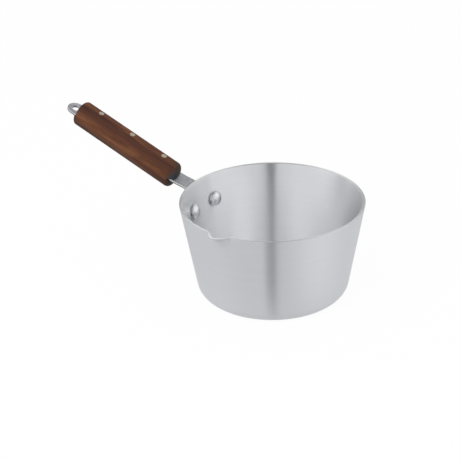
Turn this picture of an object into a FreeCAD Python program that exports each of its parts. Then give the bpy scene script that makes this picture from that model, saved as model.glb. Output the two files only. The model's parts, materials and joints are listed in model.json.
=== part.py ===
import FreeCAD, Part
import math
import os

# A milk pan: a pressed aluminium pan with one pouring lip, and a bent steel
# strap handle that two wall rivets hold and two wooden scales close round.
# Millimetres and degrees. The origin is the middle of the base on the table,
# +Z is up, the handle points to -X and the pouring lip about to -Y.

# Pan: outer sizes, and the sheet that it is pressed from.
rim_radius = 80.0
foot_radius = 64.7        # where the straight wall line would meet the table
pan_height = 85.5
corner_radius = 12.5      # outside, between wall and base
wall = 2.2
base_thickness = 2.6
rim_round = 0.8           # both edges of the rim
rim_facet_count = 3       # steps of that rounding

# Pouring lip, a swelling of the wall under the rim.
lip_angle = 89.3          # degrees, from the handle round to the lip
lip_reach = 7.7           # how far its tip stands out past the rim circle
lip_half_width = 13.7     # along the rim
lip_depth = 15.0          # below the rim, where the wall is round again
lip_level_shares = (0, 1 / 3, 2 / 3, 1)
lip_point_count = 13      # points along one section of the lip

# Handle strap: one steel strip, bent, with a cross bar against the wall.
strap_width = 16.4
strap_thickness = 2.0
strap_drop = 8.9          # from the rim down to where its middle meets the wall
strap_lift = 13.0         # degrees above level, beside the pan
neck_length = 23.5        # from the wall to the bend in front of the grip
bend_radius = 50.0
grip_lift = 20.5          # degrees above level, in the grip
flange_bend_radius = 4.0  # inside radius, where the strip turns down the wall
bar_height = 15.0
bar_corner_radius = 2.5   # between the cross bar and the strip above it

# Wall rivets, one on each side of the strip.
rivet_drop = 23.1         # from the rim down
rivet_pitch = 32.2
shank_radius = 3.0
head_radius = 6.7
head_height = 4.9
head_rim = 1.4            # straight side of the head, below its dome
tail_radius = 4.8
tail_height = 1.6
tail_bevel = 0.8

# Grip: two half-round wooden scales.
grip_setback = 4.0        # from the bend to the front of the grip
grip_length = 110.4
lower_overhang = 1.3      # how much further back the lower scale reaches
grip_width = 21.5
scale_side = 1.5          # straight side of a scale, below its half round
grip_end_round = 2.6

# Grip pins.
front_pin_inset = 15.2    # from the front of the grip
rear_pin_inset = 20.9     # from the rear of the grip
pin_radius = 2.5
pin_proud = 0.25
pin_names = ("front", "middle", "rear")

# Hanging eye behind the grip.
eye_inset = 6.6           # from the rear of the grip to the middle of the eye
eye_radius = 3.9

# Fits.
seat_gap = 0.05           # between curved faces that lie on each other
hole_clearance = 0.05     # round a shank or a pin
channel_clearance = 0.1   # beside the strip in the scales
overrun = 5.0             # how far a cutting shape passes what it cuts

TILT_AXIS = FreeCAD.Vector(0, 1, 0)
UP = FreeCAD.Vector(0, 0, 1)
ORIGIN = FreeCAD.Vector(0, 0, 0)

wall_lean = math.atan2(rim_radius - foot_radius, pan_height)
lip_half_angle = lip_half_width / rim_radius
strap_height = pan_height - strap_drop
rivet_height = pan_height - rivet_drop
handle_azimuth = math.pi
lip_azimuth = handle_azimuth + math.radians(lip_angle)


def polar(radius, azimuth, height):
    """A point at a radius and azimuth round the pan's axis."""
    return FreeCAD.Vector(radius * math.cos(azimuth), radius * math.sin(azimuth), height)


def wall_radius(height, offset=0):
    """The outer wall line's radius at a height, with the line moved out squarely by an offset."""
    slope = (rim_radius - foot_radius) / pan_height
    return foot_radius + slope * height + offset / math.cos(wall_lean)


def wall_cone(offset):
    """The solid inside the wall line moved out by an offset."""
    return Part.makeCone(wall_radius(0, offset), wall_radius(pan_height, offset), pan_height)


def one_solid(shape):
    """The single solid that a cut or a fuse must leave."""
    clean = shape.removeSplitter()
    assert len(clean.Solids) == 1, "a piece came apart"
    return clean.Solids[0]


def bowl(offset, floor, corner, top):
    """A filled pan of revolution, from its floor up to a level top."""
    turn = math.pi / 2 - wall_lean
    tangent = corner * math.tan(turn / 2)
    meeting = wall_radius(floor, offset)
    start = FreeCAD.Vector(meeting - tangent, 0, floor)
    end = FreeCAD.Vector(
        meeting + tangent * math.sin(wall_lean), 0, floor + tangent * math.cos(wall_lean)
    )
    halfway = -(math.pi / 2 + wall_lean) / 2
    middle = FreeCAD.Vector(
        start.x + corner * math.cos(halfway), 0, floor + corner + corner * math.sin(halfway)
    )
    low_axis = FreeCAD.Vector(0, 0, floor)
    high_axis = FreeCAD.Vector(0, 0, top)
    edge_top = FreeCAD.Vector(wall_radius(top, offset), 0, top)
    outline = Part.Wire([
        Part.makeLine(low_axis, start),
        Part.Arc(start, middle, end).toShape(),
        Part.makeLine(end, edge_top),
        Part.makeLine(edge_top, high_axis),
        Part.makeLine(high_axis, low_axis),
    ])
    return Part.Face(outline).revolve(ORIGIN, UP, math.degrees(2 * math.pi))


def lip_section(share, offset):
    """A level outline of the wall at a share of the lip's depth, with the lip's swelling."""
    height = pan_height - lip_depth + lip_depth * share
    radius = wall_radius(height, offset)
    reach = lip_reach * share ** 2
    first = lip_azimuth - lip_half_angle
    last = lip_azimuth + lip_half_angle
    start, end = polar(radius, first, height), polar(radius, last, height)
    if share == 0:
        lip = Part.Arc(start, polar(radius, lip_azimuth, height), end)
    else:
        points = []
        for index in range(lip_point_count):
            across = 2 * index / (lip_point_count - 1) - 1
            swell = reach * math.cos(across * math.pi / 2) ** 2
            azimuth = lip_azimuth + across * lip_half_angle
            points.append(polar(radius + swell, azimuth, height))
        lip = Part.BSplineCurve()
        lip.interpolate(
            points,
            InitialTangent=polar(1, first + math.pi / 2, 0),
            FinalTangent=polar(1, last + math.pi / 2, 0),
        )
    behind = polar(radius, lip_azimuth + math.pi, height)
    quarter = (math.pi - lip_half_angle) / 2
    right_side = Part.Arc(end, polar(radius, last + quarter, height), behind)
    left_side = Part.Arc(behind, polar(radius, first - quarter, height), start)
    return Part.Wire([lip.toShape(), right_side.toShape(), left_side.toShape()])


def lipped_bowl(offset, floor, corner, flare):
    """A filled pan with the pouring lip, whose rim flares out (1) or draws in (-1) round an edge."""
    lower = bowl(offset, floor, corner, pan_height - lip_depth)
    straight_share = 1 - rim_round / lip_depth
    levels = [lip_section(share * straight_share, offset) for share in lip_level_shares]
    rim = []
    for index in range(rim_facet_count + 1):
        angle = math.pi / 2 * index / rim_facet_count
        rise_share = straight_share + rim_round * math.sin(angle) / lip_depth
        rim.append(lip_section(rise_share, offset + flare * rim_round * (1 - math.cos(angle))))
    if flare > 0:
        rim.append(lip_section(1 + overrun / lip_depth, offset + flare * rim_round))
    return one_solid(lower.fuse([Part.makeLoft(levels, True), Part.makeLoft(rim, True, True)]))


def rivet_places():
    """The middle of each wall rivet on the outer wall, with its axis pointing out of the pan."""
    radius = wall_radius(rivet_height)
    half_angle = math.asin(rivet_pitch / 2 / radius)
    places = []
    for side in (-1, 1):
        azimuth = handle_azimuth + side * half_angle
        axis = polar(math.cos(wall_lean), azimuth, -math.sin(wall_lean))
        place = FreeCAD.Placement(polar(radius, azimuth, rivet_height), FreeCAD.Rotation(UP, axis))
        places.append(place)
    return places


def rivet_bore(place):
    """The hole for a wall rivet's shank, through the wall and the strip."""
    length = wall + strap_thickness + 2 * overrun
    bore = Part.makeCylinder(
        shank_radius + hole_clearance, length, FreeCAD.Vector(0, 0, -wall - overrun)
    )
    bore.Placement = place
    return bore


def pan_body():
    """The pressed pan, open at the top, with a rounded rim and two rivet holes."""
    outer = lipped_bowl(0, 0, corner_radius, -1)
    inner = lipped_bowl(-wall, base_thickness, corner_radius - wall, 1)
    pan = outer.cut(inner)
    for place in rivet_places():
        pan = pan.cut(rivet_bore(place))
    return one_solid(pan)


def domed_disc(radius, rim, height, depth):
    """A disc on the level plane with a domed top, sunk below the plane by a depth."""
    rise = height - rim
    dome_radius = (radius ** 2 + rise ** 2) / (2 * rise)
    half_angle = math.asin(radius / dome_radius) / 2
    top = FreeCAD.Vector(0, 0, height)
    middle = FreeCAD.Vector(
        dome_radius * math.sin(half_angle), 0, height - dome_radius * (1 - math.cos(half_angle))
    )
    edge = FreeCAD.Vector(radius, 0, rim)
    foot = FreeCAD.Vector(radius, 0, -depth)
    bottom = FreeCAD.Vector(0, 0, -depth)
    outline = Part.Wire([
        Part.Arc(top, middle, edge).toShape(),
        Part.makeLine(edge, foot),
        Part.makeLine(foot, bottom),
        Part.makeLine(bottom, top),
    ])
    return Part.Face(outline).revolve(ORIGIN, UP, math.degrees(2 * math.pi))


def set_tail():
    """A rivet's pressed tail on the level plane: a low button with a bevelled edge."""
    button = Part.makeCylinder(tail_radius, strap_thickness + tail_height, -UP * strap_thickness)
    top_edge = [edge for edge in button.Edges if edge.BoundBox.ZMin > tail_height - tail_bevel]
    return button.makeChamfer(tail_bevel, top_edge)


def wall_rivet(place):
    """A rivet with a domed head seated on the inner wall, and its tail set on the cross bar."""
    strip_face = seat_gap + strap_thickness
    shank = Part.makeCylinder(
        shank_radius, wall + strip_face + head_rim + tail_bevel, -UP * (wall + head_rim)
    )
    head = domed_disc(head_radius, head_rim, head_height, wall)
    turned_in = FreeCAD.Rotation(FreeCAD.Vector(1, 0, 0), math.degrees(math.pi))
    head.Placement = place * FreeCAD.Placement(-UP * (wall + seat_gap), turned_in)
    tail = set_tail()
    tail.Placement = place * FreeCAD.Placement(UP * (strip_face + seat_gap), FreeCAD.Rotation())
    shank.Placement = place
    head = head.common(wall_cone(-wall - seat_gap))
    tail = tail.cut(wall_cone(strip_face + seat_gap))
    return one_solid(shank.fuse([head, tail]))


def along(lift):
    """The direction away from the pan at a lift above level."""
    angle = math.radians(lift)
    return FreeCAD.Vector(-math.cos(angle), 0, math.sin(angle))


def square_to(lift):
    """The direction that points up, square to along(lift)."""
    angle = math.radians(lift)
    return FreeCAD.Vector(math.sin(angle), 0, math.cos(angle))


strap_root = FreeCAD.Vector(-wall_radius(strap_height), 0, strap_height)
bend_point = strap_root + along(strap_lift) * neck_length
neck_place = FreeCAD.Placement(strap_root, FreeCAD.Rotation(TILT_AXIS, strap_lift))
grip_place = FreeCAD.Placement(bend_point, FreeCAD.Rotation(TILT_AXIS, grip_lift))
eye_distance = grip_setback + grip_length + eye_inset
grip_height = grip_width + 2 * scale_side


def pin_distances():
    """How far each grip pin lies behind the bend, evenly from the front one to the rear one."""
    first = grip_setback + front_pin_inset
    spacing = (grip_length - front_pin_inset - rear_pin_inset) / (len(pin_names) - 1)
    return [first + index * spacing for index in range(len(pin_names))]


def pin_bore(distance):
    """The hole for a grip pin, before it is set at the handle's slope."""
    length = grip_height + 2 * overrun
    low = FreeCAD.Vector(-distance, 0, -length / 2)
    return Part.makeCylinder(pin_radius + hole_clearance, length, low)


def bent_strip():
    """The strip from the wall to the eye, with its gentle bend in front of the grip."""
    turn = math.radians(grip_lift - strap_lift)
    radius = math.copysign(bend_radius, turn)
    tangent = radius * math.tan(turn / 2)
    start = strap_root - along(strap_lift) * overrun
    bend_start = bend_point - along(strap_lift) * tangent
    bend_end = bend_point + along(grip_lift) * tangent
    centre = bend_start + square_to(strap_lift) * radius
    bend_middle = centre - square_to((strap_lift + grip_lift) / 2) * radius
    end = bend_point + along(grip_lift) * eye_distance
    path = Part.Wire([
        Part.makeLine(start, bend_start),
        Part.Arc(bend_start, bend_middle, bend_end).toShape(),
        Part.makeLine(bend_end, end),
    ])
    half_width = TILT_AXIS * (strap_width / 2)
    half_depth = square_to(strap_lift) * (strap_thickness / 2)
    corners = [
        start - half_width - half_depth,
        start + half_width - half_depth,
        start + half_width + half_depth,
        start - half_width + half_depth,
    ]
    section = Part.makePolygon(corners + corners[:1])
    strip = path.makePipeShell([section], True, False)
    disc = Part.makeCylinder(
        strap_width / 2, strap_thickness, FreeCAD.Vector(-eye_distance, 0, -strap_thickness / 2)
    )
    disc.Placement = grip_place
    return strip.fuse(disc)


def cross_bar():
    """The strip's cross bar, round outside as the wall is, with its neck up to the strip."""
    half_neck = strap_width / 2
    half_bar = rivet_pitch / 2
    half_height = bar_height / 2
    round_share = math.sqrt(1 / 2)
    neck_top = (strap_height - rivet_height) / math.cos(wall_lean) + overrun
    inset = bar_corner_radius * (1 - round_share)

    def point(y, z):
        return FreeCAD.Vector(0, y, z)

    def one_side(side):
        corner_top = point(side * half_neck, half_height + bar_corner_radius)
        corner_middle = point(side * (half_neck + inset), half_height + inset)
        corner_end = point(side * (half_neck + bar_corner_radius), half_height)
        end_top = point(side * half_bar, half_height)
        end_middle = point(side * (half_bar + half_height), 0)
        end_low = point(side * half_bar, -half_height)
        return [
            Part.makeLine(point(side * half_neck, neck_top), corner_top),
            Part.Arc(corner_top, corner_middle, corner_end).toShape(),
            Part.makeLine(corner_end, end_top),
            Part.Arc(end_top, end_middle, end_low).toShape(),
        ]

    across_top = Part.makeLine(point(-half_neck, neck_top), point(half_neck, neck_top))
    across_low = Part.makeLine(point(-half_bar, -half_height), point(half_bar, -half_height))
    edges = one_side(-1) + one_side(1) + [across_top, across_low]
    outline = Part.Wire(Part.__sortEdges__(edges))
    thick = rivet_pitch
    bar = Part.Face(outline).extrude(FreeCAD.Vector(-thick, 0, 0))
    bar.translate(FreeCAD.Vector(thick / 2, 0, 0))
    middle = FreeCAD.Vector(-wall_radius(rivet_height), 0, rivet_height)
    bar.Placement = FreeCAD.Placement(
        middle, FreeCAD.Rotation(TILT_AXIS, -math.degrees(wall_lean))
    ) * bar.Placement
    above = Part.makeBox(
        2 * rivet_pitch, 2 * rivet_pitch, rivet_pitch, FreeCAD.Vector(-rivet_pitch, -rivet_pitch, 0)
    )
    above.Placement = neck_place
    return bar.common(wall_cone(seat_gap + strap_thickness)).cut(above)


def turn_edges(shape):
    """The curved edges right across the strip where it meets the wall and the bar."""
    found = []
    for edge in shape.Edges:
        straight = isinstance(edge.Curve, (Part.Line, Part.LineSegment))
        near_wall = edge.CenterOfMass.x > bend_point.x
        whole = abs(edge.BoundBox.YLength - strap_width) < seat_gap
        if near_wall and whole and not straight:
            found.append(edge)
    return found


def handle_strap():
    """The whole strap: cross bar, turned neck, tang with pin holes, and hanging eye."""
    strap = one_solid(one_solid(bent_strip().fuse(cross_bar())).cut(wall_cone(seat_gap)))
    outermost = min(turn_edges(strap), key=lambda edge: edge.CenterOfMass.x)
    strap = strap.makeFillet(flange_bend_radius, [outermost])
    highest = max(turn_edges(strap), key=lambda edge: edge.CenterOfMass.z)
    strap = strap.makeFillet(flange_bend_radius + strap_thickness, [highest])
    for place in rivet_places():
        strap = strap.cut(rivet_bore(place))
    eye = Part.makeCylinder(
        eye_radius,
        strap_thickness + 2 * overrun,
        FreeCAD.Vector(-eye_distance, 0, -strap_thickness / 2 - overrun),
    )
    for bore in [eye] + [pin_bore(distance) for distance in pin_distances()]:
        bore.Placement = grip_place
        strap = strap.cut(bore)
    return one_solid(strap)


def grip_section(grow=0):
    """The grip's section on the plane across it: two half rounds on short straight sides."""
    radius = grip_width / 2 + grow
    top = FreeCAD.Vector(0, 0, scale_side + radius)
    bottom = FreeCAD.Vector(0, 0, -scale_side - radius)
    left_top, left_low = FreeCAD.Vector(0, -radius, scale_side), FreeCAD.Vector(0, -radius, -scale_side)
    right_top, right_low = FreeCAD.Vector(0, radius, scale_side), FreeCAD.Vector(0, radius, -scale_side)
    outline = Part.Wire([
        Part.Arc(left_top, top, right_top).toShape(),
        Part.makeLine(right_top, right_low),
        Part.Arc(right_low, bottom, left_low).toShape(),
        Part.makeLine(left_low, left_top),
    ])
    return Part.Face(outline)


def grip_scale(side):
    """One wooden scale, upper (1) or lower (-1), with its half of the channel for the strip."""
    length = grip_length
    if side < 0:
        length = grip_length + lower_overhang
    rounded = grip_section().extrude(FreeCAD.Vector(-length, 0, 0))
    ends = [edge for edge in rounded.Edges if edge.BoundBox.XLength < grip_end_round]
    rounded = rounded.makeFillet(grip_end_round, ends)
    half = Part.makeBox(
        length, grip_width, grip_height, FreeCAD.Vector(-length, -grip_width / 2, 0)
    )
    channel = Part.makeBox(
        length + 2 * overrun,
        strap_width + 2 * channel_clearance,
        strap_thickness,
        FreeCAD.Vector(
            -length - overrun, -strap_width / 2 - channel_clearance, -strap_thickness / 2
        ),
    )
    if side < 0:
        half.translate(FreeCAD.Vector(0, 0, -grip_height))
    scale = rounded.common(half).cut(channel)
    scale.translate(FreeCAD.Vector(-grip_setback, 0, 0))
    for distance in pin_distances():
        scale = scale.cut(pin_bore(distance))
    scale = one_solid(scale)
    scale.Placement = grip_place * scale.Placement
    return scale


def grip_pin(distance):
    """A pin through both scales and the strip, its ends rounded as the grip is."""
    length = grip_height + 2 * overrun
    pin = Part.makeCylinder(pin_radius, length, FreeCAD.Vector(-distance, 0, -length / 2))
    envelope = grip_section(pin_proud).extrude(FreeCAD.Vector(-eye_distance, 0, 0))
    pin = one_solid(pin.common(envelope))
    pin.Placement = grip_place * pin.Placement
    return pin


pieces = {
    "pan_body": pan_body(),
    "handle_strap": handle_strap(),
    "upper_scale": grip_scale(1),
    "lower_scale": grip_scale(-1),
}
for name, place in zip(("right", "left"), reversed(rivet_places())):
    pieces["wall_rivet_" + name] = wall_rivet(place)
for name, distance in zip(pin_names, pin_distances()):
    pieces["grip_pin_" + name] = grip_pin(distance)

os.makedirs("parts", exist_ok=True)
for name, shape in pieces.items():
    assert shape.isValid(), name + " is not a sound solid"
    shape.exportStep("parts/" + name + ".step")
    print(name, round(shape.Volume), "cubic mm,", len(shape.Faces), "faces")
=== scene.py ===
# %% [markdown]
# A milk pan, dressed for its photograph.
# The pan is a small pouring pan: a pressed aluminium bowl with one lip, a steel strap riveted to the
# wall, and two wooden scales pinned to the strap as a grip. Its pieces come ready made, at their real
# size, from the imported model. This lesson gives each of them its finish, adds the two small noses of
# the grip, and then sets up a white studio and a camera.

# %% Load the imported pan
import json
import math

import bmesh
import bpy
from mathutils import Matrix, Vector


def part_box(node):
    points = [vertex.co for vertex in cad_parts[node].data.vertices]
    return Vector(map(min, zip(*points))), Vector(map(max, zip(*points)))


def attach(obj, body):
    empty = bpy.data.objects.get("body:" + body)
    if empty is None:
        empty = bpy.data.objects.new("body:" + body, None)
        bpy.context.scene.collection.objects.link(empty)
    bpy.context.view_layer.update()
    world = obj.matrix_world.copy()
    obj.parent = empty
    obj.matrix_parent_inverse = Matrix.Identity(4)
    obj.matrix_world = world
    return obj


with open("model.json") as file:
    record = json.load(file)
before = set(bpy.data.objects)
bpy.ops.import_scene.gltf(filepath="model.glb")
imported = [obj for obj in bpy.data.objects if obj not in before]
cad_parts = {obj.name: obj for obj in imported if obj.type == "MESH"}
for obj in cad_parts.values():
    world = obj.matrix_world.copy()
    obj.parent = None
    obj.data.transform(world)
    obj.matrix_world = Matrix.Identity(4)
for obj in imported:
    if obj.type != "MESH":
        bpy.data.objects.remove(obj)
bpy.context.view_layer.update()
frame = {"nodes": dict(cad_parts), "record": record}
nodes = frame["nodes"]
print("pieces:", ", ".join(sorted(nodes)))

# %% [markdown]
# Directions that the finishes follow.
# Metal and wood are not the same in every direction: the pan is brushed round its axis, the strap is
# rolled along its length, and the grain runs along the grip. We could unwrap each piece and paint along
# the map. But the pieces are simple, so plain geometry does it: the pan's axis is the Z axis, and the
# record's hanging eye says which way the handle runs.

# %% Handle directions from the hanging eye
hanging_eye = next(mount for mount in frame["record"]["mounts"] if mount["name"] == "hanging_eye")
eye_centre = Vector(hanging_eye["pos_m"])
handle_up = Vector(hanging_eye["axis"]).normalized()
handle_across = Vector((0, 1, 0))
handle_along = handle_up.cross(handle_across)
print("handle runs along", tuple(round(v, 3) for v in handle_along))

# %% [markdown]
# Helpers for shader nodes.
# A material is a small graph. Typing every node and link by hand hides the recipe, so a few helpers do
# the wiring: they add a node, do arithmetic with numbers or vectors, mix two colours, or turn a range of
# values into a soft mask. A value that is a socket is linked, and any other value is set as a constant.

# %% Node helpers
def wire(tree, value, socket):
    if isinstance(value, bpy.types.NodeSocket):
        tree.links.new(value, socket)
    else:
        socket.default_value = value


def add_node(tree, kind, inputs=None, **settings):
    made = tree.nodes.new("ShaderNode" + kind)
    for name, value in settings.items():
        setattr(made, name, value)
    for name, value in (inputs or {}).items():
        wire(tree, value, made.inputs[name])
    return made


def maths(tree, operation, *terms):
    made = add_node(tree, "Math", operation=operation)
    for term, socket in zip(terms, made.inputs):
        wire(tree, term, socket)
    return made.outputs["Value"]


def vector_maths(tree, operation, *terms, output="Vector"):
    made = add_node(tree, "VectorMath", operation=operation)
    for term, socket in zip(terms, made.inputs):
        wire(tree, term, socket)
    return made.outputs[output]


def dot(tree, first, second):
    return vector_maths(tree, "DOT_PRODUCT", first, second, output="Value")


print("helpers for nodes, numbers and vectors")

# %% Colour and mask helpers
def grey(level):
    return (level, level, level, 1)


def mix_colours(tree, share, first, second, blend_type="MIX"):
    made = add_node(tree, "Mix", data_type="RGBA", blend_type=blend_type)
    colour_inputs = [s for s in made.inputs if s.type == "RGBA"]
    wire(tree, share, made.inputs["Factor"])
    wire(tree, first, colour_inputs[0])
    wire(tree, second, colour_inputs[1])
    return next(s for s in made.outputs if s.type == "RGBA")


def smooth_step(tree, value, low, high):
    """A mask that is 0 at the low value and 1 at the high one. The low one may be the larger."""
    made = add_node(tree, "MapRange", {"Value": value, "From Min": low, "From Max": high},
                    interpolation_type="SMOOTHSTEP")
    return made.outputs["Result"]


print("helpers for colours and masks")

# %% [markdown]
# An empty finish.
# Every material here ends in one Principled shader, which carries over to other programs. One material
# with many switches could serve all pieces, but a short one for each is easier to read and change.
# Numbers that are the same all over the surface go straight on its sockets, and only what varies is
# linked.

# %% Start a finish
def new_finish(name, **constants):
    finish = bpy.data.materials.new(name)
    finish.use_nodes = True
    tree = finish.node_tree
    shader = tree.nodes["Principled BSDF"]
    for socket, value in constants.items():
        shader.inputs[socket.replace("_", " ")].default_value = value
    return finish, tree, shader


def part_position(tree):
    return add_node(tree, "TexCoord").outputs["Object"]


def surface_direction(tree):
    return add_node(tree, "NewGeometry").outputs["Normal"]


def noise(tree, vector, scale=1.0, detail=2.0, roughness=0.5):
    made = add_node(tree, "TexNoise", {
        "Vector": vector, "Scale": scale, "Detail": detail, "Roughness": roughness,
    })
    return made.outputs["Fac"]


def bump(tree, height, strength, depth):
    made = add_node(tree, "Bump", {"Height": height, "Strength": strength, "Distance": depth})
    return made.outputs["Normal"]


print("a finish starts from one Principled shader")

# %% [markdown]
# Brushed aluminium, the pan.
# The bowl was spun against an abrasive, so fine scratches run round it. They do two things. Each scratch
# is a faint line, which noise gives when it is stretched round the axis. And together they smear
# reflections across themselves, up and down the wall, which draws the tall soft bands that make brushed
# metal look brushed. The scratches could be real grooves, but they are far too fine for a mesh. The
# shader's own anisotropy does it, with a tangent worked out from the axis, so nothing is unwrapped.

# %% Coordinates round the pan
def height_of(tree, vector):
    return add_node(tree, "SeparateXYZ", {"Vector": vector}).outputs["Z"]


def from_the_axis(tree):
    """The level direction from the pan's axis to a point, and the distance."""
    flat = vector_maths(tree, "MULTIPLY", part_position(tree), (1, 1, 0))
    return vector_maths(tree, "NORMALIZE", flat), vector_maths(tree, "LENGTH", flat, output="Value")


def round_the_axis(tree, swing, lines_per_metre):
    """Noise coordinates that change slowly round the axis and fast up the wall and across the base."""
    outward, radius = from_the_axis(tree)
    parts = add_node(tree, "SeparateXYZ", {"Vector": outward})
    climb = maths(tree, "ADD", height_of(tree, part_position(tree)), radius)
    made = add_node(tree, "CombineXYZ", {
        "X": maths(tree, "MULTIPLY", parts.outputs["X"], swing),
        "Y": maths(tree, "MULTIPLY", parts.outputs["Y"], swing),
        "Z": maths(tree, "MULTIPLY", climb, lines_per_metre),
    })
    return made.outputs["Vector"]


def tangent_round_the_axis(tree):
    return vector_maths(tree, "CROSS_PRODUCT", (0, 0, 1), part_position(tree))


print("coordinates run round the Z axis")

# %% [markdown]
# Zones of the pan.
# The inside was brushed with a finer grit than the outside, and it is worn a little darker near the rim.
# The rim was rounded with a coarse tool, so it is rough and scatters light. Along the edge of the lip a
# painted highlight makes it look nearly white. Under the lip the metal gets a darker painted shade. The
# zones could be painted on a map. Here each is a mask from 0 to 1 that the surface direction and the
# height give, so it fits the form by itself.

# %% Zones of the pan
rim_height = max(corner[2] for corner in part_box("pan_body"))
rim_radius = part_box("pan_body")[1][0]
rim_depth = 0.0008
rim_facing = (0.2, 0.6)
lip_start = 0.0005
lip_full = 0.004
lip_depth = 0.015
under_facing = (-0.25, -0.65)
inside_facing = (0.3, -0.3)
worn_depth = 0.030


def pan_zones(tree):
    facing = surface_direction(tree)
    upward = height_of(tree, facing)
    height = height_of(tree, part_position(tree))
    outward, radius = from_the_axis(tree)
    at_rim = smooth_step(tree, height, rim_height - rim_depth, rim_height - rim_depth / 2)
    rim = maths(tree, "MULTIPLY", at_rim, smooth_step(tree, upward, *rim_facing))
    beyond_rim = smooth_step(tree, radius, rim_radius + lip_start, rim_radius + lip_full)
    at_lip = smooth_step(tree, height, rim_height - lip_depth / 2, rim_height)
    return {
        "inside": smooth_step(tree, dot(tree, facing, outward), *inside_facing),
        "rim": rim,
        # The edge of the lip gets a painted highlight.
        "painted highlight on lip edge": maths(tree, "MULTIPLY", rim, beyond_rim),
        # Under the lip, where the surface faces down, a darker colour is painted shade.
        "painted shade under lip": maths(tree, "MULTIPLY", at_lip, smooth_step(tree, upward, *under_facing)),
        "near rim": smooth_step(tree, height, rim_height - worn_depth, rim_height),
    }


print("zones under a rim at", round(rim_height, 4), "m")

# %% [markdown]
# Colour of the pan.
# Aluminium is a pale, slightly blue grey. One even colour would look like plastic foil, so the brush
# lines shift it between a darker and a lighter tone, with fine lines over broad ones. The zones are then
# laid over each other like washes of paint: inside, worn band, rim and the painted shade under the lip.

# %% Brush lines and colour of the pan
fine_lines = 2200
broad_lines = 260
fine_swing = 1.0
broad_swing = 0.6
fine_share = 0.6
line_range = (0.3, 0.7)
outer_dark = (0.858, 0.869, 0.903, 1)
outer_light = (0.878, 0.889, 0.923, 1)
inner_dark = (0.926, 0.933, 0.947, 1)
inner_light = (0.957, 0.964, 0.978, 1)
worn_metal = (0.795, 0.802, 0.815, 1)
worn_share = 0.3
rim_metal = (0.92, 0.925, 0.94, 1)
# Painted shade under the lip.
painted_shade_under_lip = (0.72, 0.725, 0.745, 1)


def brush_lines(tree):
    """Fine scratches alone, and fine and broad ones together."""
    fine = noise(tree, round_the_axis(tree, fine_swing, fine_lines), detail=3)
    broad = noise(tree, round_the_axis(tree, broad_swing, broad_lines))
    fine_part = maths(tree, "MULTIPLY", fine, fine_share)
    return fine, maths(tree, "ADD", fine_part, maths(tree, "MULTIPLY", broad, 1 - fine_share))


def pan_colour(tree, lines, zones):
    line_share = smooth_step(tree, lines, *line_range)
    outer = mix_colours(tree, line_share, outer_dark, outer_light)
    inner = mix_colours(tree, line_share, inner_dark, inner_light)
    worn = maths(tree, "MULTIPLY", zones["near rim"], worn_share)
    brushed = mix_colours(tree, zones["inside"], outer, mix_colours(tree, worn, inner, worn_metal))
    dressed = mix_colours(tree, zones["rim"], brushed, rim_metal)
    # The darker colour under the lip is painted shade.
    return mix_colours(tree, zones["painted shade under lip"], dressed, painted_shade_under_lip)


print("brush lines:", fine_lines, "fine and", broad_lines, "broad per metre")

# %% [markdown]
# Finish of the pan.
# What is left is how the metal shines. Full anisotropy, turned a quarter, smears reflections up and down.
# The roughness hardly varies, because a brushed wall is even, and only the rim is much rougher. A rim that
# scatters light could be a second shader. A smaller share of Metallic does the same in one, and a much
# smaller share along the edge of the lip paints a highlight there.

# %% Finish of the pan
brushed_roughness = 0.32
line_roughness = 0.02
finer_grit = -0.04
rim_roughness = 0.3
rim_dullness = 0.08
# Less Metallic along the edge of the lip paints a highlight there.
painted_highlight_on_lip_edge = 0.45
scratch_strength = 0.012
scratch_depth = 0.00004


def brushed_aluminium():
    finish, tree, shader = new_finish("brushed_aluminium", Anisotropic=1, Anisotropic_Rotation=0.25)
    zones = pan_zones(tree)
    fine, lines = brush_lines(tree)
    wire(tree, pan_colour(tree, lines, zones), shader.inputs["Base Color"])
    outer_roughness = maths(tree, "MULTIPLY_ADD", lines, line_roughness, brushed_roughness)
    wall_roughness = maths(tree, "MULTIPLY_ADD", zones["inside"], finer_grit, outer_roughness)
    roughness = maths(tree, "MULTIPLY_ADD", zones["rim"], rim_roughness, wall_roughness)
    wire(tree, roughness, shader.inputs["Roughness"])
    dull_rim = maths(tree, "MULTIPLY", zones["rim"], rim_dullness)
    # The rim is dulled a little, and the edge of the lip much more, which paints a highlight.
    dull_and_highlight_share = maths(tree, "MULTIPLY_ADD", zones["painted highlight on lip edge"], painted_highlight_on_lip_edge, dull_rim)
    wire(tree, maths(tree, "SUBTRACT", 1, dull_and_highlight_share), shader.inputs["Metallic"])
    wire(tree, bump(tree, fine, scratch_strength, scratch_depth), shader.inputs["Normal"])
    wire(tree, tangent_round_the_axis(tree), shader.inputs["Tangent"])
    return finish


pan_finish = brushed_aluminium()
print("made", pan_finish.name, "with", len(pan_finish.node_tree.nodes), "nodes")

# %% [markdown]
# Plated steel, the strap.
# The strap is a strip of steel, sheared and bent, then plated. Its faces are a speckled grey, and rolling
# leaves faint lines along them. The upper half of each side gets a bright painted highlight, and the
# lower half a dull painted shade. Each face could have a material of its own. One is simpler: noise gives
# lines and speckle, the surface direction finds the sides, and the height over the middle of the strip
# tells the lit half from the shaded half. The strip bends in front of the grip, and the middle rises from
# there on.

# %% Coordinates along the handle
neck_turn = math.radians(7.5)
bend_setback = 0.004
grip_front = min(handle_along.dot(corner.co) for corner in nodes["upper_scale"].data.vertices)


def handle_coordinates(tree, along_scale, across_scale):
    """Noise coordinates, with one scale along the handle and another across it."""
    position = part_position(tree)
    made = add_node(tree, "CombineXYZ", {
        "X": maths(tree, "MULTIPLY", dot(tree, position, handle_along), along_scale),
        "Y": maths(tree, "MULTIPLY", dot(tree, position, handle_across), across_scale),
        "Z": maths(tree, "MULTIPLY", dot(tree, position, handle_up), across_scale),
    })
    return made.outputs["Vector"]


def above_tang(tree):
    """Height of a point over the middle of the tang, square to the handle."""
    rise = dot(tree, part_position(tree), handle_up)
    return maths(tree, "SUBTRACT", rise, eye_centre.dot(handle_up))


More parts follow.
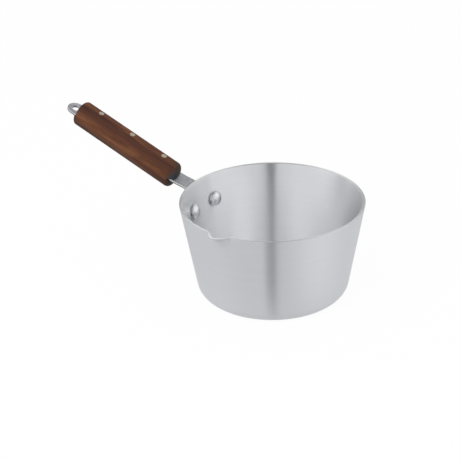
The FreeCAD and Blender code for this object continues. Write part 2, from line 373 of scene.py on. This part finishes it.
def above_strip(tree):
    """The same height, over the middle of the strip as it bends in front of the grip."""
    along = dot(tree, part_position(tree), handle_along)
    before_bend = maths(tree, "SUBTRACT", grip_front - bend_setback, along)
    neck_rise = maths(tree, "MULTIPLY", maths(tree, "MAXIMUM", before_bend, 0), math.tan(neck_turn))
    return maths(tree, "SUBTRACT", above_tang(tree), neck_rise)


print("grip starts", round(grip_front, 4), "m along the handle")

# %% Finish of the strap
rolled_scales = (60, 1800)
speckle_scales = (650, 700)
speckle_range = (0.35, 0.65)
side_facing = (0.6, 0.9)
# Sides: painted shade on the lower half, painted highlight on the upper half.
highlight_shade_blend = 0.0002
face_dark = (0.44, 0.445, 0.47, 1)
face_light = (0.64, 0.645, 0.675, 1)
painted_shade_side = (0.30, 0.305, 0.32, 1)
painted_highlight_side = (0.88, 0.88, 0.89, 1)
strap_roughness = 0.46
rolled_roughness = 0.12
rolled_depth = 0.00005
rolled_strength = 0.1


def plated_steel():
    finish, tree, shader = new_finish("plated_steel", Metallic=1)
    lines = noise(tree, handle_coordinates(tree, *rolled_scales), detail=3)
    speckle = noise(tree, handle_coordinates(tree, *speckle_scales), detail=3)
    face = mix_colours(tree, smooth_step(tree, speckle, *speckle_range), face_dark, face_light)
    # The upper half of each side is a painted highlight and the lower half a painted shade.
    highlight_share = smooth_step(tree, above_strip(tree), -highlight_shade_blend, highlight_shade_blend)
    side_light_and_shade = mix_colours(tree, highlight_share, painted_shade_side, painted_highlight_side)
    sideways = maths(tree, "ABSOLUTE", dot(tree, surface_direction(tree), handle_across))
    colour = mix_colours(tree, smooth_step(tree, sideways, *side_facing), face, side_light_and_shade)
    wire(tree, colour, shader.inputs["Base Color"])
    roughness = maths(tree, "MULTIPLY_ADD", lines, rolled_roughness, strap_roughness)
    wire(tree, roughness, shader.inputs["Roughness"])
    wire(tree, bump(tree, lines, rolled_strength, rolled_depth), shader.inputs["Normal"])
    return finish


strap_finish = plated_steel()
print("made", strap_finish.name)

# %% [markdown]
# Figure of the wood.
# The scales are cut from a red-brown wood, and one dark purple streak of heartwood runs along the top of
# the grip. A photograph of a board could be laid over them, but it would show seams on a round form.
# Noise fills the whole block, as real wood does. Long noise gives clouds and red streaks, finer noise the
# grain, and a sharp threshold on the finest gives the pores, short dark dashes along the grain. The heart
# streak is a band along the grip that the clouds bend.

# %% Clouds, streaks and heart
cloud_scales = (20, 130)
streak_scales = (22, 420)
cloud_range = (0.38, 0.62)
red_range = (0.45, 0.70)
sap_dark = (0.088, 0.032, 0.016, 1)
sap_light = (0.206, 0.080, 0.032, 1)
red_streak = (0.125, 0.040, 0.020, 1)
heart_middle = -0.0057
heart_half_width = 0.0052
heart_bend = 0.007
heart_gaps = (0.62, 0.38)
heart_least = 0.65
heart_wood = (0.055, 0.020, 0.016, 1)


def streaked_wood(tree):
    """The colour without grain, and how far the clouds push things aside."""
    clouds = noise(tree, handle_coordinates(tree, *cloud_scales), detail=3, roughness=0.55)
    streaks = noise(tree, handle_coordinates(tree, *streak_scales), detail=3, roughness=0.6)
    sap = mix_colours(tree, smooth_step(tree, clouds, *cloud_range), sap_dark, sap_light)
    reddened = mix_colours(tree, smooth_step(tree, streaks, *red_range), sap, red_streak)

    across = dot(tree, part_position(tree), handle_across)
    bend = maths(tree, "MULTIPLY", maths(tree, "SUBTRACT", clouds, 0.5), heart_bend)
    from_middle = maths(tree, "ADD", maths(tree, "SUBTRACT", across, heart_middle), bend)
    aside = maths(tree, "ABSOLUTE", from_middle)
    heart = smooth_step(tree, aside, heart_half_width, heart_half_width / 4)
    gaps = smooth_step(tree, streaks, *heart_gaps)
    patchy = maths(tree, "MULTIPLY_ADD", gaps, 1 - heart_least, heart_least)
    heart_share = maths(tree, "MULTIPLY", heart, patchy)
    return mix_colours(tree, heart_share, reddened, heart_wood), bend


print("heart streak of", 2 * heart_half_width, "m")

# %% Grain and pores
grain_scales = (45, 1000)
pore_scales = (90, 2600)
grain_range = (0.42, 0.72)
grain_share = 0.7
grain_line = (0.070, 0.030, 0.017, 1)
pore_range = (0.60, 0.70)
pore_share = 0.5
pore_dark = (0.035, 0.018, 0.012, 1)
# Painted shade on the lower scale.
painted_shade_lower_scale = (0.72, 0.74, 0.80, 1)
board_blend = 0.001


def grained_wood(tree, streaked):
    """The colour with grain and pores, with painted shade on the lower scale, and the masks of grain and
    pores.
    """
    grain = noise(tree, handle_coordinates(tree, *grain_scales), detail=4, roughness=0.65)
    pores = smooth_step(tree, noise(tree, handle_coordinates(tree, *pore_scales)), *pore_range)
    lines = maths(tree, "MULTIPLY", smooth_step(tree, grain, *grain_range), grain_share)
    lined = mix_colours(tree, lines, streaked, grain_line)
    pored = mix_colours(tree, maths(tree, "MULTIPLY", pores, pore_share), lined, pore_dark)
    # The lower scale is multiplied by a darker, bluish painted shade.
    lower = smooth_step(tree, above_tang(tree), board_blend, -board_blend)
    lower_scale_shade = mix_colours(tree, lower, grey(1), painted_shade_lower_scale)
    return mix_colours(tree, 1, pored, lower_scale_shade, "MULTIPLY"), grain, pores


print("grain and pores at", grain_scales[1], "and", pore_scales[1], "per metre across")

# %% [markdown]
# Ends of the grip.
# End grain drinks oil, so the ends and the noses of the scales are darker than their sides. Heat from the
# stove has browned the top of the front end on one side. Beside the steel the ends get a painted shade,
# nearly black, and bluish on the upper scale. These could be painted by hand. The direction of the surface
# and the distances from the front and from the tang find the same places, and they keep fitting when the
# grip changes its size.

# %% Darkened ends
scorch_length = 0.010
scorch_across = (-0.006, 0.001)
scorch_share = 0.7
scorched_wood = (0.058, 0.036, 0.026, 1)
nose_soak = 0.0015
end_facing = (0.35, 0.95)
end_wood = (0.062, 0.038, 0.028, 1)
# Painted shade on the ends beside the steel.
tang_shade_reach = 0.010
shade_facing = (0.6, 0.98)
lower_painted_shade = (0.030, 0.026, 0.023, 1)
upper_painted_shade = (0.040, 0.043, 0.050, 1)


def scorch_front(tree, wood, bend):
    along = maths(tree, "ADD", dot(tree, part_position(tree), handle_along), bend)
    front = smooth_step(tree, along, grip_front + scorch_length, grip_front + scorch_length / 4)
    across = dot(tree, part_position(tree), handle_across)
    scorch = maths(tree, "MULTIPLY", front, smooth_step(tree, across, *scorch_across))
    return mix_colours(tree, maths(tree, "MULTIPLY", scorch, scorch_share), wood, scorched_wood)


def soak_and_shade_ends(tree, wood):
    endwise = maths(tree, "ABSOLUTE", dot(tree, surface_direction(tree), handle_along))
    along = dot(tree, part_position(tree), handle_along)
    on_nose = smooth_step(tree, along, grip_front + nose_soak, grip_front - nose_soak)
    end_grain = maths(tree, "MAXIMUM", smooth_step(tree, endwise, *end_facing), on_nose)
    ended = mix_colours(tree, end_grain, wood, end_wood)

    # Beside the steel the ends get a near-black painted shade, bluish on the upper scale.
    over_tang = above_tang(tree)
    near_tang = smooth_step(tree, maths(tree, "ABSOLUTE", over_tang), tang_shade_reach, tang_shade_reach / 4)
    shaded_end = maths(tree, "MAXIMUM", smooth_step(tree, endwise, *shade_facing), on_nose)
    upper = smooth_step(tree, over_tang, -board_blend, board_blend)
    tang_shade = mix_colours(tree, upper, lower_painted_shade, upper_painted_shade)
    return mix_colours(tree, maths(tree, "MULTIPLY", near_tang, shaded_end), ended, tang_shade)


print("front end scorched over", scorch_length, "m")

# %% Finish of the grip
wood_roughness = 0.48
grain_roughness = 0.2
pore_drop = 0.5
wood_relief = 0.0002
wood_relief_strength = 0.25


def oiled_hardwood():
    finish, tree, shader = new_finish("oiled_hardwood", Specular_IOR_Level=0.15)
    streaked, bend = streaked_wood(tree)
    wood, grain, pores = grained_wood(tree, streaked)
    colour = soak_and_shade_ends(tree, scorch_front(tree, wood, bend))
    wire(tree, colour, shader.inputs["Base Color"])
    roughness = maths(tree, "MULTIPLY_ADD", grain, grain_roughness, wood_roughness)
    wire(tree, roughness, shader.inputs["Roughness"])
    relief = maths(tree, "SUBTRACT", grain, maths(tree, "MULTIPLY", pores, pore_drop))
    wire(tree, bump(tree, relief, wood_relief_strength, wood_relief), shader.inputs["Normal"])
    return finish


grip_finish = oiled_hardwood()
print("made", grip_finish.name, "with", len(grip_finish.node_tree.nodes), "nodes")

# %% [markdown]
# Rivets and pins.
# The wall rivets were domed by a polished set, so they are brighter than the pan and show small dents. The
# steep sides of their heads get a dark painted shade. The pins were sanded with the wood:
# flat, scratched and a little warm from the oil. Dents and scratches could be modelled, but at this size
# noise in the bump does as well and leaves the meshes alone.

# %% Finish of the rivets
dents_per_metre = 500
rivet_dark = (0.69, 0.695, 0.72, 1)
rivet_light = (0.84, 0.845, 0.87, 1)
# Painted shade on the steep sides of the heads.
painted_shade_rivet_side = (0.38, 0.385, 0.40, 1)
steep_facing = (0.75, 0.2)
rivet_roughness = 0.20
dent_roughness = 0.14
dent_strength = 0.2
dent_depth = 0.0005


def set_rivet():
    finish, tree, shader = new_finish("set_rivet", Metallic=1)
    dents = noise(tree, part_position(tree), dents_per_metre)
    metal = mix_colours(tree, dents, rivet_dark, rivet_light)
    outward, _ = from_the_axis(tree)
    headwise = maths(tree, "ABSOLUTE", dot(tree, surface_direction(tree), outward))
    # The steep sides of the heads get a dark painted shade.
    colour = mix_colours(tree, smooth_step(tree, headwise, *steep_facing), metal, painted_shade_rivet_side)
    wire(tree, colour, shader.inputs["Base Color"])
    roughness = maths(tree, "MULTIPLY_ADD", dents, dent_roughness, rivet_roughness)
    wire(tree, roughness, shader.inputs["Roughness"])
    wire(tree, bump(tree, dents, dent_strength, dent_depth), shader.inputs["Normal"])
    return finish


rivet_finish = set_rivet()
print("made", rivet_finish.name)

# %% Finish of the pins
sanding_scales = (700, 4000)
pin_dark = (0.50, 0.44, 0.35, 1)
pin_light = (0.72, 0.65, 0.54, 1)
pin_roughness = 0.40
sanding_roughness = 0.2
sanding_strength = 0.2
sanding_depth = 0.0001


def sanded_pin():
    finish, tree, shader = new_finish("sanded_pin", Metallic=1)
    scratches = noise(tree, handle_coordinates(tree, *sanding_scales))
    wire(tree, mix_colours(tree, scratches, pin_dark, pin_light), shader.inputs["Base Color"])
    roughness = maths(tree, "MULTIPLY_ADD", scratches, sanding_roughness, pin_roughness)
    wire(tree, roughness, shader.inputs["Roughness"])
    wire(tree, bump(tree, scratches, sanding_strength, sanding_depth), shader.inputs["Normal"])
    return finish


pin_finish = sanded_pin()
print("made", pin_finish.name)

# %% [markdown]
# Dress the pieces.
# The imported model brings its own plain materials, one slot for each piece. We could join the pieces of one
# material, but then they could no longer be taken apart. So the meshes stay as they are, and only the
# finish in each slot changes.

# %% Give each piece its finish
finish_of_piece = {
    "pan_body": pan_finish,
    "handle_strap": strap_finish,
    "upper_scale": grip_finish,
    "lower_scale": grip_finish,
    "wall_rivet_left": rivet_finish,
    "wall_rivet_right": rivet_finish,
    "grip_pin_front": pin_finish,
    "grip_pin_middle": pin_finish,
    "grip_pin_rear": pin_finish,
}
for name, finish in finish_of_piece.items():
    nodes[name].material_slots[0].material = finish
print("dressed", len(finish_of_piece), "pieces")

# %% [markdown]
# Noses of the scales.
# The front end of each scale swells forwards over the strap, more on one side than on the other, and the
# upper one more than the lower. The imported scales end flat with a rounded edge. Their meshes stay as they
# are, so each swelling is a small piece that sits on that end. We could sculpt it. But it has a simple
# rule: the half-round section of the scale shrinks ring by ring towards a point beside the middle of the
# strap. Near its edge it follows the scale's rounded edge, and further in it runs forwards. The first ring
# is sunk into the wood.

# %% Section of a nose
upper_nose_length = 0.0050
lower_nose_length = 0.0025
nose_fullness = 1.2
nose_lean = -0.005
edge_round = 0.0026
tang_half_thickness = 0.0011
arc_steps = 40
scale_corners = nodes["upper_scale"].data.vertices
grip_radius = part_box("upper_scale")[1][1]
grip_height = max(handle_up.dot(corner.co - eye_centre) for corner in scale_corners)


def half_round_section():
    """Points across and above the tang, from one side of a scale over its top to the other."""
    section = [Vector((-grip_radius, tang_half_thickness))]
    for step in range(arc_steps + 1):
        turn = math.pi * step / arc_steps
        above = grip_height - grip_radius + grip_radius * math.sin(turn)
        section.append(Vector((-grip_radius * math.cos(turn), above)))
    return section + [Vector((grip_radius, tang_half_thickness))]


def nose_reach(share, inset, length):
    """How far a point lies in front of the flat end, at a share of the section, inset from its edge."""
    left_of_round = max(edge_round - inset, 0)
    rounded_edge = math.sqrt(edge_round ** 2 - left_of_round ** 2) - edge_round
    return rounded_edge + length * (1 - share ** 2) ** nose_fullness


print("noses of", upper_nose_length, "and", lower_nose_length, "m, grip radius", round(grip_radius, 4))

# %% Rings of a nose
ring_shares = (0.97, 0.93, 0.89, 0.84, 0.79, 0.73, 0.66, 0.58, 0.49, 0.39, 0.28, 0.16, 0.06)
sunk_depth = 0.0004
nose_foot = eye_centre + handle_along * (grip_front - handle_along.dot(eye_centre))


def nose_rings(shape, side, length):
    """The rings of corners from the edge of a scale inwards, and the corner at the tip."""
    middle = Vector((nose_lean, tang_half_thickness))

    def place(spot, reach):
        return nose_foot - handle_along * reach + handle_across * spot.x + handle_up * (side * spot.y)

    rings = []
    for number, share in enumerate(ring_shares):
        sunk = sunk_depth if number == 0 else 0
        ring = []
        for edge in half_round_section():
            reach = nose_reach(share, (1 - share) * (edge - middle).length, length) - sunk
            ring.append(shape.verts.new(place(middle.lerp(edge, share), reach)))
        rings.append(ring)
    return rings, shape.verts.new(place(middle, length))


print("nose of", len(ring_shares), "rings")

# %% Two noses
smooth_below = math.radians(50)


def scale_nose(name, side, length):
    shape = bmesh.new()
    rings, tip = nose_rings(shape, side, length)
    for outer, inner in zip(rings, rings[1:]):
        for corners in zip(outer, outer[1:], inner[1:], inner):
            shape.faces.new(corners)
    for pair in zip(rings[-1], rings[-1][1:]):
        shape.faces.new((*pair, tip))
    shape.faces.new(rings[0])
    shape.faces.new([ring[0] for ring in rings] + [tip] + [ring[-1] for ring in reversed(rings)])
    bmesh.ops.recalc_face_normals(shape, faces=shape.faces)
    mesh = bpy.data.meshes.new(name)
    shape.to_mesh(mesh)
    shape.free()
    mesh.shade_smooth()
    mesh.set_sharp_from_angle(angle=smooth_below)
    mesh.materials.append(grip_finish)
    piece = bpy.data.objects.new(name, mesh)
    bpy.context.scene.collection.objects.link(piece)
    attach(piece, "root")
    return piece


upper_nose = scale_nose("upper_nose", 1, upper_nose_length)
lower_nose = scale_nose("lower_nose", -1, lower_nose_length)
print("made", upper_nose.name, "and", lower_nose.name, "of", len(upper_nose.data.polygons), "faces each")

# %% [markdown]
# The studio.
# The pan stands in a white tent with a gap where the camera looks in. Brushed metal shows that gap as a
# dark upright band, so the tent matters more to the look than any lamp. The tent could be built from real
# sheets of cloth. Here each panel is three numbers: the two angles that it runs between, in degrees to the
# right of the camera, and its brightness. Between two panels the light blends, and behind the pan it falls
# to one level. The world shows the wall panels, and the floor has panels for the light that falls on it.

# %% Panels of the tent
camera_azimuth = math.radians(33.456)
towards_camera = Vector((math.sin(camera_azimuth), -math.cos(camera_azimuth), 0))
rightwards = Vector((math.cos(camera_azimuth), math.sin(camera_azimuth), 0))
wall_back = 0.4
wall_panels = {
    "left": (-110, -75, 1.2),
    "left of the camera": (-40, -5, 0.9),
    "gap for the camera": (-4, 4.5, 0.05),
    "right of the camera": (9, 35, 0.8),
    "right": (65, 105, 1.1),
    "behind on the right": (145, 155, 0.8),
}
floor_back = 0.45
floor_panels = {
    "left": (-110, -10, 0.6),
    "gap for the camera": (-5, 1, 0.35),
    "right of the camera": (5, 10, 0.6),
    "right": (35, 55, 0.75),
    "behind on the right": (85, 115, 0.65),
}
print("tent of", len(wall_panels), "wall panels and", len(floor_panels), "floor panels")

# %% Brightness of the tent round the pan
def tent_rule(name, back, panels):
    """A node group: a direction or place goes in, and the brightness of the tent there comes out."""
    levels = [(-180, back)]
    for start, end, level in panels.values():
        levels += [(start, level), (end, level)]
    levels.append((180, back))
    group = bpy.data.node_groups.new(name, "ShaderNodeTree")
    group.interface.new_socket("Direction", in_out="INPUT", socket_type="NodeSocketVector")
    group.interface.new_socket("Brightness", in_out="OUTPUT", socket_type="NodeSocketFloat")
    source = group.nodes.new("NodeGroupInput").outputs["Direction"]
    angle = maths(group, "ARCTAN2", dot(group, source, rightwards), dot(group, source, towards_camera))
    turn_share = maths(group, "MULTIPLY_ADD", angle, 1 / (2 * math.pi), 0.5)
    ramp = add_node(group, "ValToRGB", {"Fac": turn_share})
    stops = ramp.color_ramp.elements
    while len(stops) < len(levels):
        stops.new(1)
    for stop, (degrees, level) in zip(stops, levels):
        stop.position = degrees / 360 + 0.5
        stop.color = grey(level)
    sink = group.nodes.new("NodeGroupOutput")
    group.links.new(ramp.outputs["Color"], sink.inputs["Brightness"])
    return group


def brightness(tree, rule, direction):
    made = tree.nodes.new("ShaderNodeGroup")
    made.node_tree = rule
    tree.links.new(direction, made.inputs["Direction"])
    return made.outputs["Brightness"]


tent_walls = tent_rule("tent_walls", wall_back, wall_panels)
tent_floor = tent_rule("tent_floor", floor_back, floor_panels)
print("made", tent_walls.name, "and", tent_floor.name)

# %% [markdown]
# The world.
# The camera sees it as plain white, reflections see the tent, and everything else gets an even fill. White
# panels in front of the camera could do the same, but they would get in each other's light. Straight up,
# all directions round the pan meet, so there the tent fades into one roof level.

# %% World
fill_level = 0.8
roof_level = 0.40
roof_climb = (0.75, 0.95)


def make_world():
    world = bpy.data.worlds.new("white_tent")
    world.use_nodes = True
    tree = world.node_tree
    path = add_node(tree, "LightPath")
    glossy = path.outputs["Is Glossy Ray"]
    shown = maths(tree, "MAXIMUM", path.outputs["Is Camera Ray"], path.outputs["Is Transmission Ray"])
    direction = add_node(tree, "TexCoord").outputs["Generated"]
    roof_share = smooth_step(tree, height_of(tree, direction), *roof_climb)
    wall_share = maths(tree, "SUBTRACT", 1, roof_share)
    walls = maths(tree, "MULTIPLY", brightness(tree, tent_walls, direction), wall_share)
    tent = maths(tree, "MULTIPLY_ADD", roof_share, roof_level, walls)
    plain = maths(tree, "MULTIPLY_ADD", shown, 1 - fill_level, fill_level)
    plain_share = maths(tree, "MULTIPLY", plain, maths(tree, "SUBTRACT", 1, glossy))
    background = tree.nodes["Background"]
    background.inputs["Color"].default_value = grey(1)
    wire(tree, maths(tree, "MULTIPLY_ADD", glossy, tent, plain_share), background.inputs["Strength"])
    return world


bpy.context.scene.world = make_world()
print("world fill", fill_level, "and roof", roof_level)

# %% [markdown]
# The floor.
# The floor is white paper. A lit diffuse plane alone would come out grey in places, so most of what the
# camera sees of it is a white glow, and the rest is real diffuse paper, which keeps the soft shadow under
# the pan. Reflections see the floor panels, which fade into one level close to the pan. From below the
# paper is open, so that the underside of the pan can be looked at.

# %% Light on the paper
near_radius = 0.085
far_radius = 0.110
near_level = 0.635


def floor_light(tree):
    """What a reflection sees of the floor: one level under the pan, and the panels further out."""
    place = add_node(tree, "NewGeometry").outputs["Position"]
    spread = vector_maths(tree, "LENGTH", place, output="Value")
    far = smooth_step(tree, spread, near_radius, far_radius)
    near_light = maths(tree, "MULTIPLY", maths(tree, "SUBTRACT", 1, far), near_level)
    return maths(tree, "MULTIPLY_ADD", far, brightness(tree, tent_floor, place), near_light)


print("floor light changes between", near_radius, "and", far_radius, "m")

# %% Paper
glow_share = 0.95
paper_level = 0.95


def paper_white():
    finish = bpy.data.materials.new("paper_white")
    finish.use_nodes = True
    tree = finish.node_tree
    tree.nodes.remove(tree.nodes["Principled BSDF"])
    path = add_node(tree, "LightPath")
    glossy = path.outputs["Is Glossy Ray"]
    shown = maths(tree, "MAXIMUM", path.outputs["Is Camera Ray"], path.outputs["Is Transmission Ray"])
    strength = maths(tree, "MULTIPLY_ADD", glossy, floor_light(tree), shown)
    glow = add_node(tree, "Emission", {"Color": grey(1), "Strength": strength})
    paper = add_node(tree, "BsdfDiffuse", {"Color": grey(paper_level)})
    share = maths(tree, "MULTIPLY", maths(tree, "MAXIMUM", shown, glossy), glow_share)
    mixed = add_node(tree, "MixShader", {"Fac": share})
    tree.links.new(paper.outputs["BSDF"], mixed.inputs[1])
    tree.links.new(glow.outputs["Emission"], mixed.inputs[2])
    from_below = add_node(tree, "NewGeometry").outputs["Backfacing"]
    opened = add_node(tree, "MixShader", {"Fac": from_below})
    tree.links.new(mixed.outputs["Shader"], opened.inputs[1])
    tree.links.new(add_node(tree, "BsdfTransparent").outputs["BSDF"], opened.inputs[2])
    tree.links.new(opened.outputs["Shader"], tree.nodes["Material Output"].inputs["Surface"])
    return finish


paper_finish = paper_white()
print("made", paper_finish.name)

# %% Floor
floor_half_size = 4.0
floor_drop = 0.0002

corner_signs = ((-1, -1), (1, -1), (1, 1), (-1, 1))
floor_corners = [(x * floor_half_size, y * floor_half_size, -floor_drop) for x, y in corner_signs]
floor_mesh = bpy.data.meshes.new("floor")
floor_mesh.from_pydata(floor_corners, [], [(0, 1, 2, 3)])
floor_mesh.materials.append(paper_finish)
floor = bpy.data.objects.new("floor", floor_mesh)
bpy.context.scene.collection.objects.link(floor)
print("floor of", 2 * floor_half_size, "m")

# %% [markdown]
# One large soft lamp.
# The tent lights everything evenly, so forms would look flat. A sun would give hard shadows. One wide lamp
# to the left of the camera, a little above it, gives the wood its soft turn from light to dark. Reflections
# already show the tent, so they leave the lamp out.

# %% Soft lamp
lamp_turn = math.radians(-40)
lamp_distance = 1.4
lamp_height = 1.1
lamp_size = 1.0
lamp_watts = 11


def soft_lamp(name, place, target, size, watts):
    light = bpy.data.lights.new(name, "AREA")
    light.shape = "DISK"
    light.size = size
    light.energy = watts
    lamp = bpy.data.objects.new(name, light)
    lamp.location = place
    lamp.rotation_euler = (target - place).to_track_quat("-Z", "Y").to_euler()
    lamp.visible_glossy = False
    bpy.context.scene.collection.objects.link(lamp)
    return lamp


lamp_direction = towards_camera * math.cos(lamp_turn) + rightwards * math.sin(lamp_turn)
lamp_place = lamp_direction * lamp_distance + Vector((0, 0, lamp_height))
side_lamp = soft_lamp("side_lamp", lamp_place, Vector((0, 0, 0)), lamp_size, lamp_watts)
print("lamp", side_lamp.name, side_lamp.data.energy, "W")

# %% [markdown]
# The camera.
# Its place was found by matching the rim, the base and the handle with the photograph. A near camera with
# a wide lens could frame the pan too, but it would stretch the near wall. This one stands more than a metre
# away and looks down into the pan through a long lens, so the round rim becomes a calm ellipse.

# %% Camera
photo_pixels = 460
focal_pixels = 1500
sensor_width = 36
camera_distance = 1.16257
camera_height = 0.63638
camera_turn = math.radians(1.8126)
camera_tilt = math.radians(-26.472)
camera_roll = math.radians(-1.4435)

camera_data = bpy.data.cameras.new("camera")
camera_data.sensor_width = sensor_width
camera_data.lens = sensor_width * focal_pixels / photo_pixels
camera = bpy.data.objects.new("camera", camera_data)
heading = Matrix.Rotation(camera_azimuth + camera_turn, 4, "Z")
tilt = Matrix.Rotation(math.pi / 2 + camera_tilt, 4, "X")
roll = Matrix.Rotation(camera_roll, 4, "Z")
stand = Matrix.Translation(towards_camera * camera_distance + Vector((0, 0, camera_height)))
camera.matrix_world = stand @ heading @ tilt @ roll
bpy.context.scene.collection.objects.link(camera)
bpy.context.scene.camera = camera
bpy.context.scene.view_settings.view_transform = "Standard"
print("camera at", tuple(round(v, 3) for v in camera.matrix_world.translation))
